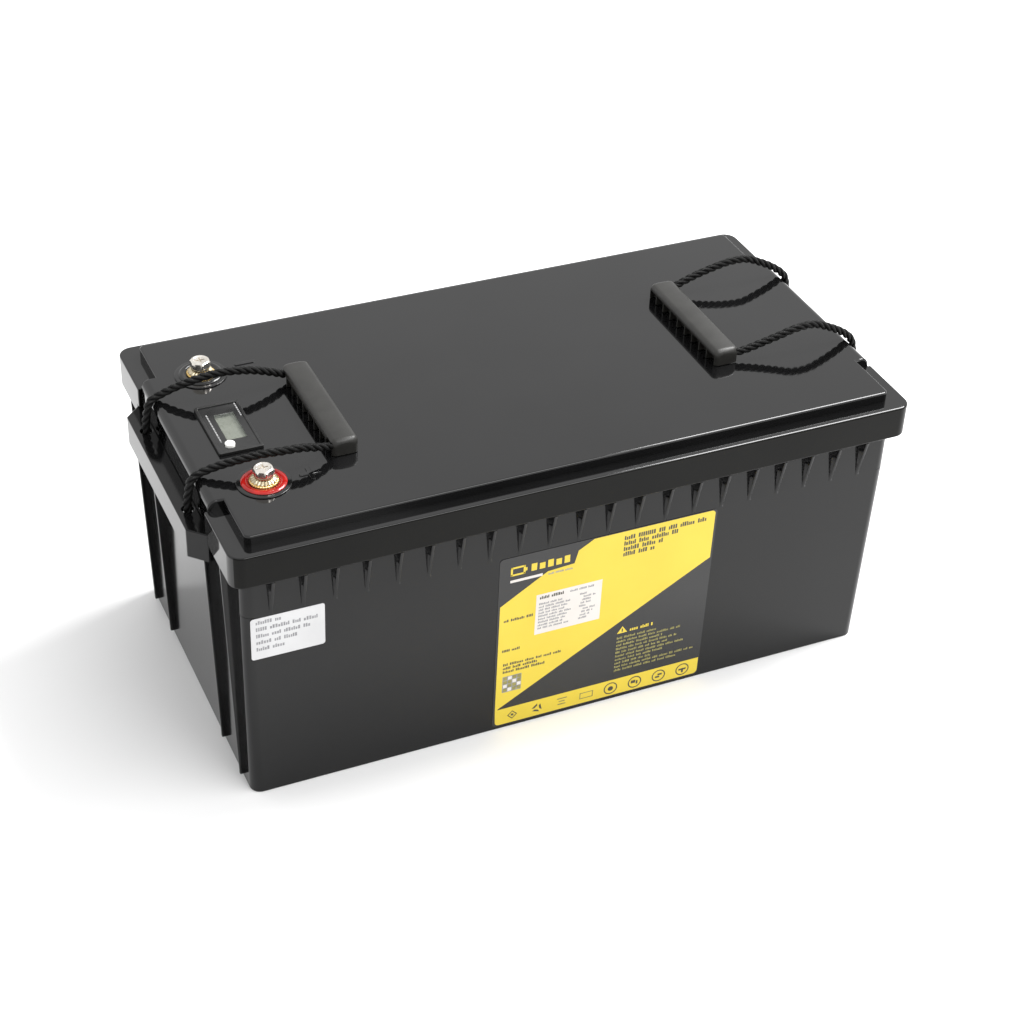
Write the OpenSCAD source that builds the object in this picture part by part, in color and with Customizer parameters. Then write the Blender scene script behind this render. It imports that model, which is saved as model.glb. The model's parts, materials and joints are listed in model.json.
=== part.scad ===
// Deep cycle battery: a moulded case with a glued lid, two rope handles,
// two bolt-down terminals, a charge meter and a four-cell pack inside.
// Origin at the middle of the base, +X along the case, -Y the labelled front.

/* [Case] */
// Length of the lid rim
rim_l = 500; // [480:1:520]
// Width of the lid rim
rim_w = 268; // [260:1:276]
// Height of the lid rim above the base
rim_top = 213; // [205:1:220]
// Depth of the lid rim skirt
rim_h = 24.5; // [18:0.5:28]
// Corner radius of the lid rim
rim_r = 10; // [6:1:14]
// Length of the case at its base
base_l = 480; // [470:1:486]
// Width of the case at its base
base_w = 245.6; // [238:0.2:250]
// Thickness of the case walls
wall = 3.6; // [3:0.2:5]
// Overhang of the rim past the case wall
rim_over = 8.4; // [7:0.2:10]

/* [Ribs] */
// Number of gussets under the rim on each long side
gusset_n = 21; // [9:2:27]
// Spacing of the gussets
gusset_pitch = 22; // [16:0.5:22]
// Shift of the gussets away from the middle, towards the terminals
gusset_shift = 2.5; // [0:0.5:5]
// Height of the gussets
gusset_h = 32; // [15:1:35]
// Thickness of the gussets and end ribs
rib_t = 2.6; // [2:0.2:4]
// Distance of the inner end ribs from the middle
rib_in_y = 63.5; // [60:0.5:70]
// Distance of the outer end ribs from the middle
rib_out_y = 104.5; // [98:0.5:110]

/* [Rope lugs] */
// Length of each lug
lug_l = 163; // [150:1:163]
// Reach of each lug past the rim
lug_out = 11; // [9:0.5:14]
// Height of the lug top above the base
lug_top = 197; // [192:1:200]
// Depth of the lug
lug_h = 22; // [16:1:26]
// Distance of the rope holes from the middle
rope_y = 49; // [45:1:52]
// Rope diameter
rope_d = 6; // [5:0.5:7]

/* [Lid] */
// Height of the raised middle above the rim
step_h = 7; // [5:0.5:9]
// Width of the rim ledge along the long sides
ledge = 12; // [10:0.5:15]
// Width of the rim ledge at the end corners
end_ledge = 13.4; // [12:0.2:16]
// Thickness of the lid plate
plate = 4; // [3:0.5:5]
// Half length of the bulge between the rope holes
bulge_y = 77.5; // [74:0.5:79]
// Reach of the bulge from the middle of the lid
bulge_x = 247.5; // [246:0.5:248]
// Edge radius of the bulge
bulge_r = 6; // [4:0.5:7]

/* [Terminals] */
// Distance of the terminals from the middle of the lid, along the case
term_x = 206.5; // [200:0.5:210]
// Distance of the terminals from the middle of the lid, across the case
term_y = 69.5; // [66:0.5:75]
// Thread diameter of the terminal bolts
bolt_d = 8; // [6:1:8]

/* [Meter] */
// Length of the meter bezel
meter_l = 59; // [50:1:62]
// Width of the meter bezel
meter_w = 31; // [28:1:34]
// Distance of the meter from the middle of the lid
meter_x = 209; // [205:0.5:212]
// Travel of the meter button
button_travel = 1; // [0.6:0.1:1.4]

/* [Grips] */
// Length of each grip
grip_l = 105; // [100:1:112]
// Width of each grip
grip_w = 19.5; // [16:0.5:20]
// Height of each grip
grip_h = 12; // [11:0.5:13]
// Distance of the grips from the middle of the lid
grip_x = 146; // [140:1:150]

/* [Cells] */
// Thickness of one cell
cell_t = 71.6; // [70:0.2:72]
// Width of one cell
cell_w = 174; // [170:1:178]
// Height of one cell body
cell_h = 200; // [190:1:201]
// Gap between cells
cell_gap = 1; // [0.5:0.1:1.2]

/* [Hidden] */
$fn = 48;

eps = 0.01;
fit_gap = 0.3;
rim_bot = rim_top - rim_h;
top_z = rim_top + step_h;
body_l = rim_l - 2 * rim_over;
body_w = rim_w - 2 * rim_over;
body_r = 8;
taper_z = rim_bot - gusset_h;
floor_t = 3.5;
collar_z = rim_top - plate - 2;
draft_y = atan((body_w - base_w) / 2 / taper_z);

// Rope lugs
lug_x = rim_l / 2 + lug_out;
lug_plate = 4;
lug_skin = 2.5;
rope_x = bulge_x + rope_d / 2 + 2.5;
rope_r = rope_d / 2;
hole_r = rope_r + 1;
knot_r = 6.6;
knot_h = 9;
knot_in = 2;

// Rope bend over the edge of the bulge
bend_r = bulge_r + rope_r + 0.5;
bend_x = bulge_x - bulge_r;
bend_z = top_z - bulge_r;

// Terminals
thread_r = bolt_d / 2;
bore_r = thread_r + 0.05;
collar_r = 18.5;
collar_t = 1;
ring_r = 15.4;
ring_t = 1.4;
flange_r = 10;
flange_t = 2;
barrel_r = 9;
seat_z = top_z + collar_t + flange_t;
washer_r = 9.2;
washer_t = 2.2;
spring_r = 7.4;
spring_t = 2.1;
head_h = 5.3;
head_z = seat_z + washer_t + spring_t;
shank_l = 18;

// Meter
meter_y = -2;
bezel_t = 2.3;
button_rise = 1.2;
bezel_z = top_z + bezel_t;
lens_l = 31;
lens_w = 14;
lens_x = 1.5;
lens_y = 1;
button_r = 3.8;
button_x = -5.4;
button_y = -20.3;
tray_l = meter_l - 4;
tray_w = meter_w - 4;
tray_z = top_z - 9;

// Cell pack
pack_x0 = -72;
cell_z0 = floor_t + 2;
cell_pitch = cell_t + cell_gap;
pack_x1 = pack_x0 + 4 * cell_t + 3 * cell_gap;
plate_t = 3;
post_y = 61;
post_h = 2.2;
post_z = cell_z0 + cell_h + post_h;
bar_t = 1.6;
bar_w = 22;
band_t = 1;

// Battery management board, upright on the pack's end plate
bms_l = 150;
bms_h = 100;
bms_z = 95;
bms_off = 12;
bms_t = 1.6;
bms_x = pack_x0 - plate_t - bms_off;

// Label sizes on the front wall
label_x0 = -61;
label_x1 = 105;
label_z0 = 3.2;
label_z1 = 156;
tag_x0 = -237;
tag_x1 = -186;
tag_z0 = 121.5;
tag_z1 = 156;
label_t = 0.3;

// Routes of the swinging stretches of rope, from one lug to the other hole
LEFT_ROUTE = [
    [-244, 49, 223.2], [-231.5, 45.5, 230], [-219, 42, 235], [-205, 41, 237.5],
    [-191.5, 39, 238], [-177, 39, 235.2], [-163, 39.5, 230.2], [-156.5, 40.3, 227],
    [-151, 41, 225.8], [-147, 38, 225.6], [-146, 25, 225.6], [-146, 10, 225.6],
    [-146, -5, 225.6], [-146, -20, 225.6], [-146, -35, 225.6], [-147, -48, 225.6],
    [-151, -53, 226.2], [-157, -56, 227.6], [-164, -58.3, 230.3], [-177, -60, 234],
    [-191, -58.8, 234], [-204.4, -56.5, 233.3], [-218, -54, 230.8], [-231.5, -51, 227.4],
    [-244, -49, 223.2]
];
RIGHT_ROUTE = [
    [248, 49, 221], [240, 50, 227.5], [229, 51, 233.5], [216, 52, 238.5],
    [202, 53, 238.5], [188, 53, 236], [174, 53, 232.5], [160, 52, 228.5],
    [151, 50, 226], [147, 45, 225.6], [146, 32, 225.6], [146, 18, 225.6],
    [146, 3, 225.6], [146, -12, 225.6], [146, -26, 225.6], [147, -39, 225.6],
    [151, -44, 225.8], [160, -46, 227], [174, -47, 230.5], [188, -48, 234.5],
    [202, -49, 238.5], [216, -49, 238.5], [229, -49, 233.5], [240, -49, 227.5],
    [248, -49, 221]
];
grip_rope_z = 225.6;
left_shift = -6.5;
right_shift = 3;

// Routes of the cables inside the case
POSITIVE_ROUTE = [
    [-78, -61, 202.6], [-92, -61, 202.6], [-106, -62, 201], [-122, -64, 198],
    [-140, -66, 193], [-158, -68, 188], [-176, -69.5, 183.5], [-190, -69.5, 181.5],
    [-200, -69.5, 183.2], [-205, -69.5, 187.5], [-206.5, -69.5, 192.5],
    [-206.5, -69.5, 196.8]
];
NEGATIVE_ROUTE = [
    [-88.6, 45, 160], [-98, 45, 160], [-112, 47, 161], [-128, 52, 164],
    [-144, 58, 168], [-160, 64, 173], [-176, 68, 178], [-190, 69.5, 181.5],
    [-200, 69.5, 183.2], [-205, 69.5, 187.5], [-206.5, 69.5, 192.5],
    [-206.5, 69.5, 196.8]
];
PACK_ROUTE = [
    [190, -93, 202.6], [174, -93, 202.6], [158, -94, 200], [138, -96, 196],
    [112, -97, 192], [86, -97, 190], [60, -97, 190], [34, -97, 190],
    [8, -97, 190], [-18, -97, 190], [-42, -97, 189], [-62, -97, 186],
    [-80, -97, 181], [-94, -94, 176], [-102, -86, 172], [-105, -77, 169],
    [-103, -68, 166.5], [-97, -62, 165], [-88.6, -62, 165]
];
cable_r = 5;

// A rectangle with true round corners, centred on the origin.
module round_rect(l, w, r) {
    square([l - 2 * r, w], center = true);
    square([l, w - 2 * r], center = true);
    for (sx = [-1, 1], sy = [-1, 1])
        translate([sx * (l / 2 - r), sy * (w / 2 - r)])
            circle(r);
}

// A block with true round vertical corners, standing at height z0.
module round_block(l, w, r, z0, z1) {
    translate([0, 0, z0])
        linear_extrude(z1 - z0)
            round_rect(l, w, r);
}

// A ring with a true bore, standing at height z0.
module ring(r_out, r_in, z0, h) {
    translate([0, 0, z0])
        difference() {
            cylinder(r = r_out, h = h);
            translate([0, 0, -1])
                cylinder(r = r_in, h = h + 2);
        }
}

// Unit vector along v.
function unit(v) = v / norm(v);

// Direction of a route at its point i.
function heading(p, i) =
    unit(p[min(i + 1, len(p) - 1)] - p[max(i - 1, 0)]);

// One ring of n corners round point i of a route.
function ring_at(p, i, r, n, ref) =
    let (t = heading(p, i), u = unit(cross(t, ref)), v = cross(t, u))
    [for (k = [0 : n - 1]) p[i] + r * (cos(360 * k / n) * u + sin(360 * k / n) * v)];

// A tube of n sides swept along a route; ref is never along the route.
module tube(p, r, n = 10, ref = [0, 0, 1]) {
    m = len(p);
    corners = [for (i = [0 : m - 1]) each ring_at(p, i, r, n, ref)];
    sides = [for (i = [0 : m - 2], k = [0 : n - 1])
        [(i + 1) * n + k, (i + 1) * n + (k + 1) % n, i * n + (k + 1) % n, i * n + k]];
    first = [for (k = [0 : n - 1]) k];
    last = [for (k = [n - 1 : -1 : 0]) (m - 1) * n + k];
    polyhedron(corners, concat([first], sides, [last]));
}

// Case wall as a tapered lower part and an upright upper part.
module case_solid(inset, z0, z1) {
    corner = body_r - min(inset, 3);
    hull() {
        translate([0, 0, z0])
            linear_extrude(eps)
                round_rect(base_l - 2 * inset, base_w - 2 * inset, corner);
        translate([0, 0, taper_z])
            linear_extrude(eps)
                round_rect(body_l - 2 * inset, body_w - 2 * inset, corner);
    }
    round_block(body_l - 2 * inset, body_w - 2 * inset, corner, taper_z, z1);
}

// Outline of a rope lug on the +X end, set in by an amount.
module lug_outline(inset) {
    y = lug_l / 2 - inset;
    x = lug_x - inset;
    chamfer = lug_out;
    root = body_l / 2 - 2 + (inset > 0 ? 2 : 0);
    polygon([
        [root, -y], [x - chamfer, -y], [x, -y + chamfer],
        [x, y - chamfer], [x - chamfer, y], [root, y]
    ]);
}

// One rope lug on the +X end: a hooded shelf, open below, with two holes.
module lug() {
    difference() {
        translate([0, 0, lug_top - lug_h])
            linear_extrude(lug_h)
                lug_outline(0);
        translate([0, 0, lug_top - lug_h - 1])
            linear_extrude(lug_h - lug_plate + 1)
                lug_outline(lug_skin);
        for (sy = [-1, 1])
            translate([rope_x, sy * rope_y, lug_top - lug_plate - 1])
                cylinder(r = hole_r, h = lug_plate + 2);
    }
}

// One upright rib on the +X end wall, deeper towards the top.
module end_rib(y, z_top) {
    z_low = 5;
    low_out = base_l / 2 + 3.6;
    top_out = rim_l / 2 - 0.6;
    translate([0, y + rib_t / 2, 0])
        rotate([90, 0, 0])
            linear_extrude(rib_t)
                polygon([
                    [base_l / 2 - 1, z_low], [low_out, z_low],
                    [top_out, z_top], [body_l / 2 - 1.5, z_top]
                ]);
}

// One gusset under the rim on the -Y side.
module gusset(x) {
    reach = rim_over - 0.4;
    translate([x - rib_t / 2, -body_w / 2, 0])
        rotate([90, 0, 90])
            linear_extrude(rib_t)
                polygon([[1, taper_z], [0, taper_z], [-reach, rim_bot], [1, rim_bot]]);
}

module container() {
    color("#2b2b2b") {
        difference() {
            case_solid(0, 0, collar_z);
            case_solid(wall, floor_t, collar_z + 1);
        }
        for (sx = [0, 1])
            mirror([sx, 0, 0]) {
                lug();
                for (sy = [-1, 1]) {
                    end_rib(sy * rib_in_y, lug_top - lug_plate);
                    end_rib(sy * rib_out_y, rim_bot);
                }
            }
        for (sy = [0, 1])
            mirror([0, sy, 0])
                for (i = [0 : gusset_n - 1])
                    gusset((i - (gusset_n - 1) / 2) * gusset_pitch - gusset_shift);
    }
}

// Plan of the raised middle: two corner zones and a longer middle zone.
module plateau_plan(inset) {
    r = 4;
    round_rect(rim_l - 2 * end_ledge - 2 * inset, rim_w - 2 * ledge - 2 * inset, r);
    square([2 * (bend_x - inset), 2 * (bulge_y - inset)], center = true);
}

// Rounded bulge of the lid between the rope holes, on the +X side.
module bulge() {
    low = lug_top + fit_gap;
    translate([bulge_x - 20, -bulge_y, low])
        cube([20, 2 * bulge_y, bend_z - low]);
    translate([bend_x - 14, -bulge_y, bend_z - eps])
        cube([14, 2 * bulge_y, bulge_r + eps]);
    translate([bend_x, bulge_y, bend_z])
        rotate([90, 0, 0])
            cylinder(r = bulge_r, h = 2 * bulge_y);
}

// Outline that is cut from the rim at the +X end to clear the rope lug.
module rim_notch() {
    notch_y = lug_l / 2 + fit_gap;
    notch_x = bulge_x - 2.5;
    hood_z = lug_top + fit_gap;
    translate([notch_x, -bulge_y, hood_z - eps])
        cube([20, 2 * bulge_y, rim_top - hood_z + 1]);
    translate([notch_x - 10, -notch_y, rim_bot - 1])
        cube([20, 2 * notch_y, hood_z - rim_bot + 1]);
}

// A raised plus or minus mark beside a terminal.
module mark(positive) {
    bar_l = 15;
    bar_w = 3;
    translate([0, 0, top_z - 0.2]) {
        translate([-bar_l / 2, -bar_w / 2, 0])
            cube([bar_l, bar_w, 0.9]);
        if (positive)
            translate([-bar_w / 2, -bar_l / 2, 0])
                cube([bar_w, bar_l, 0.9]);
    }
}

module lid() {
    plus_at = [-175, -70.3, 0];
    minus_at = [-173.2, 73.5, 0];
    skirt = rim_over - 0.1;
    color("#303030") difference() {
        union() {
            difference() {
                round_block(rim_l, rim_w, rim_r, rim_bot, rim_top);
                for (sx = [0, 1])
                    mirror([sx, 0, 0])
                        rim_notch();
            }
            translate([0, 0, rim_top - plate])
                linear_extrude(step_h + plate)
                    plateau_plan(0);
            for (sx = [0, 1])
                mirror([sx, 0, 0])
                    bulge();
            translate(plus_at)
                mark(true);
            translate(minus_at)
                mark(false);
        }
        round_block(rim_l - 2 * skirt, rim_w - 2 * skirt, body_r, rim_bot - 1, rim_top - plate);
        round_block(rim_l - 2 * end_ledge - 2 * plate, rim_w - 2 * ledge - 2 * plate, 3,
            rim_bot, top_z - plate);
        for (sy = [-1, 1])
            translate([-term_x, sy * term_y, rim_top - plate - 1])
                cylinder(r = barrel_r + 0.05, h = 20);
        translate([-meter_x, meter_y, top_z - 6])
            cube([tray_w + 0.4, tray_l + 0.4, 20], center = true);
    }
}

module lid_seal() {
    color("#151515") difference() {
        round_block(body_l - 1, body_w - 1, 7.5, collar_z, rim_top - plate);
        round_block(body_l - 6.4, body_w - 6.4, 5, collar_z - 1, rim_top);
    }
}

// A moulded grip with a channel below that holds the rope.
module grip(x, y_mid, side) {
    low = top_z + 0.6;
    crown = 4;
    slot_w = rope_d + 1;
    slot_z = grip_rope_z + rope_r + 0.5;
    exit_l = 14;
    exit_y = 47;
    exit_rise = 1.9;
    difference() {
        translate([x, y_mid + grip_l / 2, low])
            rotate([90, 0, 0])
                linear_extrude(grip_l) {
                    translate([-grip_w / 2, 0])
                        square([grip_w, grip_h - crown]);
                    translate([crown - grip_w / 2, 0])
                        square([grip_w - 2 * crown, grip_h]);
                    for (s = [-1, 1])
                        translate([s * (grip_w / 2 - crown), grip_h - crown])
                            circle(crown);
                }
        translate([x - slot_w / 2, y_mid - grip_l / 2 - 1, low - 1])
            cube([slot_w, grip_l + 2, slot_z - low + 1]);
        for (s = [-1, 1])
            translate([x + (side > 0 ? 0 : -grip_w), y_mid + s * exit_y - exit_l / 2, low - 1])
                cube([grip_w, exit_l, slot_z + exit_rise - low + 1]);
    }
}

module left_grip() {
    color("#3a3936") grip(-grip_x, left_shift, -1);
}

module right_grip() {
    color("#3a3936") grip(grip_x, right_shift, 1);
}

module left_rope() {
    color("#1c1c1c") tube(LEFT_ROUTE, rope_r);
}

module right_rope() {
    color("#1c1c1c") tube(RIGHT_ROUTE, rope_r);
}

// Fixed end of a rope on the +X side: a knot under the lug, then up and over.
// The bend starts and stops at angles measured from the upright.
module rope_tail(y, stop) {
    start = 80;
    steps = 4;
    knot_z = lug_top - lug_plate - fit_gap - knot_h;
    hull_r = knot_h / 2;
    route = concat(
        [[rope_x, y, knot_z + knot_h / 2], [rope_x, y, lug_top + 1]],
        [for (i = [0 : steps])
            let (a = start - (start - stop) * i / steps)
            [bend_x + bend_r * sin(a), y, bend_z + bend_r * cos(a)]]
    );
    tube(route, rope_r, 10, [0, 1, 0]);
    translate([rope_x - knot_in, y, knot_z]) {
        rotate_extrude()
            intersection() {
                square([knot_r, knot_h]);
                translate([knot_r - hull_r, hull_r])
                    circle(hull_r);
            }
        cylinder(r = knot_r - hull_r, h = knot_h);
    }
}

module left_rope_tails() {
    color("#1c1c1c")
        for (sy = [-1, 1])
            mirror([1, 0, 0])
                rope_tail(sy * rope_y, 45);
}

module right_rope_tails() {
    color("#1c1c1c")
        for (sy = [-1, 1])
            rope_tail(sy * rope_y, 75);
}

// Middle of cell i along the case, counted from 0 at the terminal end.
function post_x(i) = pack_x0 + cell_t / 2 + i * cell_pitch;

// Place a terminal piece: side is -1 for positive, 1 for negative.
module at_terminal(side) {
    translate([-term_x, side * term_y, 0])
        children();
}

module collar() {
    ring(collar_r, barrel_r + 0.05, top_z, collar_t);
}

module colour_ring() {
    ring(ring_r, flange_r + fit_gap, top_z + collar_t, ring_t);
}

// Brass insert: a flange on top and a threaded blind barrel through the lid.
module insert() {
    foot_z = top_z - 22;
    difference() {
        union() {
            translate([0, 0, top_z + collar_t])
                cylinder(r = flange_r, h = flange_t);
            translate([0, 0, foot_z])
                cylinder(r = barrel_r, h = top_z + collar_t - foot_z + eps);
        }
        translate([0, 0, seat_z - shank_l - 1])
            cylinder(r = bore_r, h = shank_l + 2);
    }
}

module flat_washer() {
    ring(washer_r, bore_r + 0.15, seat_z, washer_t);
}

// Split spring washer, one ring with a cut through it.
module spring_washer() {
    difference() {
        ring(spring_r, bore_r + 0.15, seat_z + washer_t, spring_t);
        translate([3, -0.6, seat_z])
            cube([10, 1.2, 8]);
    }
}

// Hexagon head bolt with a cross recess in its head.
module terminal_bolt() {
    across = 13;
    difference() {
        union() {
            intersection() {
                translate([0, 0, head_z])
                    cylinder(r = across / 2 / cos(30), h = head_h, $fn = 6);
                translate([0, 0, head_z])
                    cylinder(r1 = across / 2 + 7.5, r2 = across / 2 + 0.2, h = head_h);
            }
            translate([0, 0, seat_z - shank_l + 3])
                cylinder(r = thread_r, h = shank_l - 3 + washer_t + spring_t + eps);
        }
        for (a = [0, 90])
            rotate([0, 0, a])
                translate([-3.4, -0.6, head_z + head_h - 2])
                    cube([6.8, 1.2, 3]);
    }
}

module positive_collar() {
    color("#1e1e1e") at_terminal(-1) collar();
}

module positive_ring() {
    color("#c8231c") at_terminal(-1) colour_ring();
}

module positive_insert() {
    color("#c9a24a") at_terminal(-1) insert();
}

module positive_flat_washer() {
    color("#c9c4ba") at_terminal(-1) flat_washer();
}

module positive_spring_washer() {
    color("#b8b2a6") at_terminal(-1) spring_washer();
}

module positive_bolt() {
    color("#d5d0c6") at_terminal(-1) terminal_bolt();
}

module negative_collar() {
    color("#1e1e1e") at_terminal(1) collar();
}

module negative_ring() {
    color("#262626") at_terminal(1) colour_ring();
}

module negative_insert() {
    color("#c9a24a") at_terminal(1) insert();
}

module negative_flat_washer() {
    color("#c9c4ba") at_terminal(1) flat_washer();
}

module negative_spring_washer() {
    color("#b8b2a6") at_terminal(1) spring_washer();
}

module negative_bolt() {
    color("#d5d0c6") at_terminal(1) terminal_bolt();
}

// Seals round the insert barrels, under the lid plate.
module insert_o_rings() {
    cord_r = 1.2;
    color("#0d0d0d")
        for (side = [-1, 1])
            at_terminal(side)
                translate([0, 0, top_z - plate - cord_r])
                    rotate_extrude()
                        translate([barrel_r + cord_r + 0.05, 0])
                            circle(cord_r);
}

module meter_bezel() {
    color("#202020") translate([-meter_x, meter_y, 0]) difference() {
        union() {
            round_block(meter_w, meter_l, 1, top_z, bezel_z);
            translate([0, 0, tray_z])
                linear_extrude(top_z - tray_z + eps)
                    square([tray_w, tray_l], center = true);
        }
        translate([0, 0, tray_z - 1])
            linear_extrude(top_z - tray_z)
                square([tray_w - 2.4, tray_l - 2.4], center = true);
        translate([lens_x - lens_w / 2, lens_y - lens_l / 2, top_z - 3])
            cube([lens_w, lens_l, 10]);
        translate([button_x, button_y, top_z - 3])
            cylinder(r = button_r + 0.08, h = 10);
    }
}

module meter_window() {
    color("#aebfa4") translate([-meter_x + lens_x, meter_y + lens_y, bezel_z - 1.4])
        linear_extrude(1)
            square([lens_w, lens_l], center = true);
}

module meter_display() {
    color("#8f9a86") translate([-meter_x + lens_x, meter_y + lens_y, top_z - 3.2])
        linear_extrude(2.2)
            square([lens_w + 1.5, lens_l + 1.5], center = true);
}

module meter_button() {
    color("#f0f0ec") translate([-meter_x + button_x, meter_y + button_y, 0]) {
        translate([0, 0, top_z - 3])
            cylinder(r = button_r, h = 3 + bezel_t + button_rise);
        translate([0, 0, top_z - 4.2])
            cylinder(r = button_r + 0.9, h = 1.3);
    }
}

module meter_board() {
    color("#1f5a34") translate([-meter_x, meter_y, tray_z + 0.4])
        linear_extrude(1.4)
            square([tray_w - 2.8, tray_l - 2.8], center = true);
}

module meter_switch() {
    switch_z = tray_z + 1.8;
    color("#2a2a2a") translate([-meter_x + button_x, meter_y + button_y, switch_z]) {
        linear_extrude(1.4)
            square([5, 5], center = true);
        cylinder(r = 1.5, h = top_z - 4.2 - button_travel - 0.1 - switch_z);
    }
}

// Flat lead from the meter board down to the management board.
module meter_lead() {
    lead_w = 8;
    color("#8a8a8a") {
        translate([-meter_x - 0.5, meter_y + 10, 150])
            cube([1, lead_w, tray_z + 0.4 - 150]);
        translate([-meter_x - 0.5, meter_y + 10, 149])
            cube([bms_x - bms_t - 2 + meter_x, lead_w, 1]);
    }
}

// Lean a flat piece drawn in x and z against the drafted front wall.
module on_front() {
    translate([0, -base_w / 2, 0])
        rotate([90 + draft_y, 0, 0])
            linear_extrude(label_t)
                children();
}

module front_label() {
    color("#26262a") on_front()
        translate([(label_x0 + label_x1) / 2, (label_z0 + label_z1) / 2])
            round_rect(label_x1 - label_x0, label_z1 - label_z0, 3);
}

module side_label() {
    color("#e9e9e6") on_front()
        translate([(tag_x0 + tag_x1) / 2, (tag_z0 + tag_z1) / 2])
            round_rect(tag_x1 - tag_x0, tag_z1 - tag_z0, 2);
}

// One prismatic cell with two posts and a vent disc.
module cell(i) {
    translate([pack_x0 + i * cell_pitch, -cell_w / 2, cell_z0]) {
        cube([cell_t, cell_w, cell_h]);
        for (s = [-1, 1])
            translate([cell_t / 2, cell_w / 2 + s * post_y, cell_h - eps])
                cylinder(r = 9, h = post_h + eps);
        translate([cell_t / 2, cell_w / 2, cell_h - eps])
            cylinder(r = 7, h = 0.8);
    }
}

module cell_1() {
    color("#2f5f9c") cell(0);
}

module cell_2() {
    color("#2f5f9c") cell(1);
}

module cell_3() {
    color("#2f5f9c") cell(2);
}

module cell_4() {
    color("#2f5f9c") cell(3);
}

module cell_spacers() {
    color("#c7b98a")
        for (i = [1 : 3])
            translate([pack_x0 + i * cell_pitch - cell_gap, -cell_w / 2, cell_z0])
                cube([cell_gap, cell_w, cell_h - 4]);
}

module end_plates() {
    color("#b9bcc0")
        for (x = [pack_x0 - plate_t, pack_x1])
            translate([x, -cell_w / 2, cell_z0])
                cube([plate_t, cell_w, cell_h - 10]);
}

module compression_bands() {
    color("#8d9196")
        for (z = [50, 140])
            translate([0, 0, z])
                difference() {
                    translate([pack_x0 - plate_t - band_t, -cell_w / 2 - band_t, 0])
                        cube([pack_x1 - pack_x0 + 2 * (plate_t + band_t), cell_w + 2 * band_t, 16]);
                    translate([pack_x0 - plate_t, -cell_w / 2, -1])
                        cube([pack_x1 - pack_x0 + 2 * plate_t, cell_w, 18]);
                }
}

// Series links across the posts, and a tab at each end of the pack that
// reaches out over the start of its cable.
module busbars() {
    color("#c7cbd0") {
        for (i = [0 : 2])
            translate([post_x(i) - 10, (i % 2 == 0 ? 1 : -1) * post_y - bar_w / 2, post_z])
                cube([cell_pitch + 20, bar_w, bar_t]);
        translate([pack_x0 - plate_t - bms_off - 5, -post_y - bar_w / 2, post_z])
            cube([post_x(0) + 10 - pack_x0 + plate_t + bms_off + 5, bar_w, bar_t]);
        translate([post_x(3) - bar_w / 2, -cell_w / 2 - 11, post_z])
            cube([bar_w, cell_w / 2 - post_y + 21, bar_t]);
    }
}

module base_pad() {
    color("#3c3c3c") translate([pack_x0 - plate_t, -cell_w / 2, floor_t])
        cube([pack_x1 - pack_x0 + 2 * plate_t, cell_w, cell_z0 - floor_t]);
}

// Foam that keeps the pack from sliding inside the case.
module foam_blocks() {
    foam_h = 170;
    wall_x = base_l / 2 - wall - 0.6;
    wall_y = base_w / 2 - wall - 0.6;
    side_y = cell_w / 2 + band_t + fit_gap;
    color("#55575a") {
        translate([pack_x1 + plate_t + band_t, -60, floor_t])
            cube([wall_x - pack_x1 - plate_t - band_t, 120, foam_h]);
        for (x = [-40, 90])
            translate([x, side_y, floor_t])
                cube([70, wall_y - side_y, foam_h]);
        for (x = [-40, 90])
            translate([x, -wall_y, floor_t])
                cube([70, wall_y - side_y, foam_h]);
    }
}

module bms_board() {
    color("#1d4f8c") difference() {
        translate([bms_x - bms_t, -bms_l / 2, bms_z])
            cube([bms_t, bms_l, bms_h]);
        for (y = [-1, 1], z = [8, bms_h - 8])
            translate([bms_x - bms_t - 1, y * (bms_l / 2 - 8), bms_z + z])
                rotate([0, 90, 0])
                    cylinder(r = 1.7, h = bms_t + 2);
    }
}

module bms_heatsink() {
    fin_n = 9;
    color("#a9adb2") translate([bms_x - bms_t - 4, -55, bms_z + 8]) {
        cube([4, 110, 34]);
        for (i = [0 : fin_n - 1])
            translate([-12, i * (110 - 2) / (fin_n - 1), 0])
                cube([12 + eps, 2, 34]);
    }
}

module bms_standoffs() {
    color("#b98d3b")
        for (y = [-1, 1], z = [8, bms_h - 8])
            translate([bms_x, y * (bms_l / 2 - 8), bms_z + z])
                rotate([0, 90, 0])
                    difference() {
                        cylinder(r = 3, h = bms_off);
                        translate([0, 0, -1])
                            cylinder(r = 1.55, h = 8);
                    }
}

module bms_screws() {
    color("#9a9a9a")
        for (y = [-1, 1], z = [8, bms_h - 8])
            translate([bms_x - bms_t, y * (bms_l / 2 - 8), bms_z + z])
                rotate([0, 90, 0]) {
                    cylinder(r = 1.5, h = 6);
                    translate([0, 0, -2])
                        cylinder(r = 2.9, h = 2 + eps / 2);
                }
}

module bms_connector() {
    color("#ece7d8") translate([bms_x - bms_t - 7, 20, bms_z + 82])
        cube([7, 26, 8]);
}

module positive_cable() {
    color("#b3201a") tube(POSITIVE_ROUTE, cable_r, 10, [0, 1, 0]);
}

module negative_cable() {
    color("#1a1a1a") tube(NEGATIVE_ROUTE, cable_r, 10, [0, 1, 0]);
}

module pack_negative_cable() {
    color("#1a1a1a") tube(PACK_ROUTE, cable_r);
}

// Crimped lugs under the terminal inserts.
module cable_lugs() {
    lug_z = top_z - 22;
    color("#b98455")
        for (side = [-1, 1])
            at_terminal(side)
                translate([0, 0, lug_z - 1.2])
                    cylinder(r = barrel_r + 1, h = 1.2);
}

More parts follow.
